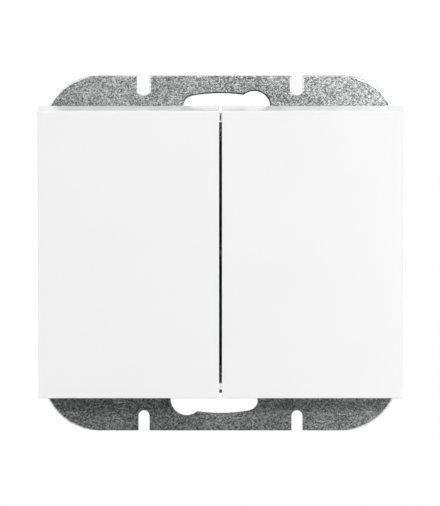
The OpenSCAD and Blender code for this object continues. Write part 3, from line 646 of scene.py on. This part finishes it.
def plated_metal(name, bright, dull, smooth, rough, size, depth):
    """A drawn, turned or pressed metal with handling marks and a faint tarnish."""
    material, tree, shader, place = new_finish(name, 1.0)
    fine = grain(tree, place, size, detail=3.0)
    tarnish = grain(tree, place, TARNISH_SIZE, detail=3.0, distortion=0.5)
    streaks = grain(tree, stretched(tree, place, MARK_STRETCH), MARK_SIZE, detail=1.0)
    tone = weighed(tree, tarnish, TARNISH_SHARE, fine, METAL_GRAIN_SHARE)
    tone = combine(tree, "ADD", tone, rising(tree, streaks, MARK_EDGE, MARK_TONE))
    colour = colours(tree, tone, ((DULL_TONE, dull), (BRIGHT_TONE, bright)))
    roughness = spread(tree, tarnish, NOISE_LOW, NOISE_HIGH, rough, smooth)
    set_look(tree, shader, colour, roughness, fine, depth)
    return material


def moulded_plastic(name, pale, deep, smooth, rough, size, depth):
    """A moulding whose skin carries the tool's fine texture."""
    material, tree, shader, place = new_finish(name, 0.0)
    texture = grain(tree, place, size)
    flow = grain(tree, place, FLOW_SIZE, distortion=0.4)
    colour = colours(tree, flow, ((NOISE_LOW, deep), (NOISE_HIGH, pale)))
    tone = weighed(tree, texture, TEXTURE_SHARE, flow, FLOW_SHARE)
    roughness = spread(tree, tone, NOISE_LOW, NOISE_HIGH, smooth, rough)
    set_look(tree, shader, colour, roughness, texture, depth)
    return material


FINISHES = {
    "galvanised_steel": galvanised_sheet("galvanised_sheet"),
    "white_key": moulded_plastic(
        "polished_white_key", pale=(0.885, 0.885, 0.885), deep=(0.875, 0.875, 0.875),
        smooth=0.10, rough=0.14, size=1.1, depth=0.1,
    ),
    "body_plastic": moulded_plastic(
        "dark_body_moulding", pale=(0.052, 0.054, 0.057), deep=(0.042, 0.044, 0.047),
        smooth=0.42, rough=0.56, size=0.22, depth=6,
    ),
    "cover_plastic": moulded_plastic(
        "dark_cover_moulding", pale=(0.06, 0.062, 0.065), deep=(0.05, 0.052, 0.055),
        smooth=0.40, rough=0.52, size=0.25, depth=5,
    ),
    "toggle_plastic": moulded_plastic(
        "natural_toggle_moulding", pale=(0.80, 0.80, 0.77), deep=(0.74, 0.74, 0.71),
        smooth=0.28, rough=0.38, size=0.3, depth=3,
    ),
    "plunger_plastic": moulded_plastic(
        "ivory_plunger_moulding", pale=(0.80, 0.75, 0.62), deep=(0.74, 0.69, 0.56),
        smooth=0.24, rough=0.34, size=0.3, depth=2,
    ),
    "brass": plated_metal(
        "pressed_brass", bright=(0.80, 0.59, 0.27), dull=(0.60, 0.41, 0.17),
        smooth=0.20, rough=0.36, size=0.2, depth=3,
    ),
    "contact_copper": plated_metal(
        "pressed_copper", bright=(0.82, 0.50, 0.34), dull=(0.60, 0.33, 0.21),
        smooth=0.22, rough=0.38, size=0.2, depth=3,
    ),
    "contact_silver": plated_metal(
        "contact_silver", bright=(0.90, 0.89, 0.86), dull=(0.72, 0.70, 0.66),
        smooth=0.18, rough=0.3, size=0.15, depth=1.5,
    ),
    "spring_steel": plated_metal(
        "drawn_spring_wire", bright=(0.58, 0.58, 0.59), dull=(0.40, 0.40, 0.42),
        smooth=0.22, rough=0.34, size=0.12, depth=1.5,
    ),
    "screw_steel": plated_metal(
        "zinc_plated_screw", bright=(0.74, 0.76, 0.79), dull=(0.56, 0.57, 0.59),
        smooth=0.20, rough=0.34, size=0.14, depth=2.5,
    ),
    "claw_steel": plated_metal(
        "zinc_plated_claw", bright=(0.70, 0.71, 0.72), dull=(0.48, 0.49, 0.50),
        smooth=0.28, rough=0.42, size=0.3, depth=6,
    ),
}

for name, node in nodes.items():
    node.data.materials.clear()
    node.data.materials.append(FINISHES[slot_of[name]])


# Pieces

finish_piece("stamped_plate", plate_mesh(), "mounting_plate", FINISHES["galvanised_steel"])

for side, word in ((-1, "left"), (1, "right")):
    finish_piece(f"{word}_key", key_mesh(side), f"{word}_rocker", FINISHES["white_key"])

    spring = finish_piece(
        f"{word}_wound_spring", wound_spring(side), f"{word}_spring", FINISHES["spring_steel"])
    squeeze_spring(spring)

    node = f"{word}_claw_screw"
    length = CLAW_UNDERHEAD_Z - CLAW_TIP_Z
    place = Matrix.Translation((side * CLAW_SCREW_X, -CLAW_UNDERHEAD_Z, 0)) @ UPRIGHT.to_4x4()
    screw = threaded_screw(node, CLAW_SCREW_R, CLAW_PITCH, length, place)
    finish_piece(f"{word}_threaded_claw_screw", screw, node, FINISHES["screw_steel"])

    for end, level in ((1, "upper"), (-1, "lower")):
        node = f"{level}_{word}_terminal_screw"
        length = TERMINAL_UNDERHEAD_Y - TERMINAL_TIP_Y
        turn = Matrix.Identity(4) if end > 0 else Matrix.Rotation(math.pi, 4, "X")
        place = Matrix.Translation((side * GANG_X, -TERMINAL_Z, end * TERMINAL_UNDERHEAD_Y)) @ turn
        screw = threaded_screw(node, TERMINAL_SCREW_R, TERMINAL_PITCH, length, place)
        finish_piece(f"{level}_{word}_threaded_terminal_screw", screw, node, FINISHES["screw_steel"])

for node, name, width in (
    ("base_housing", "moulded_housing", 0.2),
    ("mechanism_cover", "moulded_cover", 0.15),
    ("left_claw", "pressed_left_claw", 0.05),
    ("right_claw", "pressed_right_claw", 0.05),
    ("left_claw_nut", "turned_left_claw_nut", 0.2),
    ("right_claw_nut", "turned_right_claw_nut", 0.2),
):
    finish_piece(name, softened_solid(node, width), node, FINISHES[slot_of[node]])

# Pieces inside the housing, which keep the edges of their solids
for node, name in (
    ("line_terminal", "pressed_line_terminal"),
    ("left_load_terminal", "pressed_left_load_terminal"),
    ("right_load_terminal", "pressed_right_load_terminal"),
    ("left_contact_arm", "pressed_left_contact_arm"),
    ("right_contact_arm", "pressed_right_contact_arm"),
    ("left_plunger", "moulded_left_plunger"),
    ("right_plunger", "moulded_right_plunger"),
    ("left_contact_tip", "riveted_left_contact_tip"),
    ("right_contact_tip", "riveted_right_contact_tip"),
    ("fixed_contacts", "riveted_fixed_contacts"),
):
    finish_piece(name, solid_copy(node), node, FINISHES[slot_of[node]])


# Studio

def camera_ray(tree):
    return add_node(tree, "ShaderNodeLightPath").outputs["Is Camera Ray"]


def mirror_ray(tree):
    """1 for what metal, gloss and glass show."""
    path = add_node(tree, "ShaderNodeLightPath").outputs
    return combine(tree, "MAXIMUM", path["Is Glossy Ray"], path["Is Transmission Ray"])


def studio_world():
    """The room's light by direction, which turns white to the camera and in what gloss shows behind.

    A direction has x to the right, y away from the camera and z up.
    """
    world = bpy.data.worlds.new("studio")
    bpy.context.scene.world = world
    world.use_nodes = True
    tree = world.node_tree
    direction = add_node(tree, "ShaderNodeTexCoord").outputs["Generated"]
    axes = add_node(tree, "ShaderNodeSeparateXYZ", Vector=direction).outputs
    x, y, z = axes["X"], axes["Y"], axes["Z"]
    sideways = combine(tree, "ABSOLUTE", x)
    slanted = combine(tree, "ADD", x, product(tree, z, CARD_SLANT))
    in_front = falling(tree, y, FRONT_END)

    sky = product(
        tree, rising(tree, z, SKY_RISE, SKY_LEVEL), falling(tree, z, SKY_FALL, SKY_TOP),
        falling(tree, y, SKY_BACK, SKY_BEHIND),
    )
    right_box = product(
        tree, rising(tree, x, BOX_EDGE, BOX_LEVEL), rising(tree, z, BOX_FOOT),
        falling(tree, z, BOX_HEAD), in_front,
    )
    low_card = product(
        tree, rising(tree, slanted, CARD_EDGE, CARD_LEVEL), falling(tree, slanted, CARD_END),
        rising(tree, z, CARD_FOOT), falling(tree, z, CARD_HEAD), in_front,
    )
    side_walls = product(
        tree, rising(tree, sideways, WALL_EDGE, WALL_LEVEL), falling(tree, sideways, WALL_END),
        rising(tree, z, WALL_FOOT), in_front,
    )
    backdrop = product(
        tree, rising(tree, y, BACKDROP_START, BACKDROP_LEVEL),
        falling(tree, z, BACKDROP_RISE, BACKDROP_TOP),
    )
    level = combine(tree, "ADD", ROOM_LEVEL, sky)
    for part in (right_box, low_card, side_walls, backdrop):
        level = combine(tree, "MAXIMUM", level, part)

    mirrored = product(tree, mirror_ray(tree), rising(tree, y, WHITE_START))
    white_share = combine(tree, "MAXIMUM", camera_ray(tree), mirrored)
    shown = add_node(tree, "ShaderNodeMix", {"data_type": "FLOAT"}, Factor=white_share, A=level, B=1.0)
    feed(tree, tree.nodes["Background"].inputs["Color"], shown.outputs[0])


def pale_floor():
    """A pale floor far below the switch, as in a room, and white to the camera and in gloss."""
    bm = bmesh.new()
    bmesh.ops.create_grid(
        bm, x_segments=1, y_segments=1, size=FLOOR_HALF, matrix=Matrix.Translation((0, 0, FLOOR_Z)))
    mesh = bpy.data.meshes.new("floor")
    bm.to_mesh(mesh)
    bm.free()
    floor = bpy.data.objects.new("floor", mesh)
    bpy.context.scene.collection.objects.link(floor)
    material, tree, shader, place = new_finish("pale_floor", 0.0)
    tone = grain(tree, place, FLOOR_GRAIN, detail=3.0)
    feed(tree, shader.inputs["Base Color"], colours(tree, tone, FLOOR_COLOURS))
    feed(tree, shader.inputs["Roughness"], FLOOR_ROUGHNESS)
    white = add_node(tree, "ShaderNodeEmission")
    shown = add_node(tree, "ShaderNodeMixShader")
    white_share = combine(tree, "MAXIMUM", camera_ray(tree), mirror_ray(tree))
    for socket, value in zip(shown.inputs, (white_share, shader.outputs[0], white.outputs[0])):
        feed(tree, socket, value)
    feed(tree, tree.nodes["Material Output"].inputs["Surface"], shown.outputs[0])
    mesh.materials.append(material)


def soft_box(name, place, size, watts):
    """A square lamp that looks at the middle of the plate."""
    lamp = bpy.data.lights.new(name, "AREA")
    lamp.size = size
    lamp.energy = watts
    holder = bpy.data.objects.new(name, lamp)
    bpy.context.scene.collection.objects.link(holder)
    way = (-Vector(place)).to_track_quat("-Z", "Y")
    holder.matrix_world = Matrix.Translation(place) @ way.to_matrix().to_4x4()
    holder.visible_camera = False


def photo_camera():
    """Straight in front of the plate; the picture is SEEN_HEIGHT high at the plate's front."""
    data = bpy.data.cameras.new("photo_camera")
    data.sensor_width = SENSOR_WIDTH
    data.lens = data.sensor_width * CAMERA_DISTANCE / SEEN_HEIGHT
    data.clip_start, data.clip_end = VIEW_START, VIEW_END
    camera = bpy.data.objects.new("photo_camera", data)
    camera.location = (CAMERA_X, PLATE_FRONT_Y * MM - CAMERA_DISTANCE, 0)
    camera.rotation_euler = (math.radians(90), 0, 0)
    bpy.context.scene.collection.objects.link(camera)
    bpy.context.scene.camera = camera


photo_camera()
studio_world()
pale_floor()
soft_box("right_soft_box", LAMP_PLACE, LAMP_SIZE, LAMP_WATTS)

bpy.context.scene.view_settings.view_transform = "Standard"

bpy.context.view_layer.update()
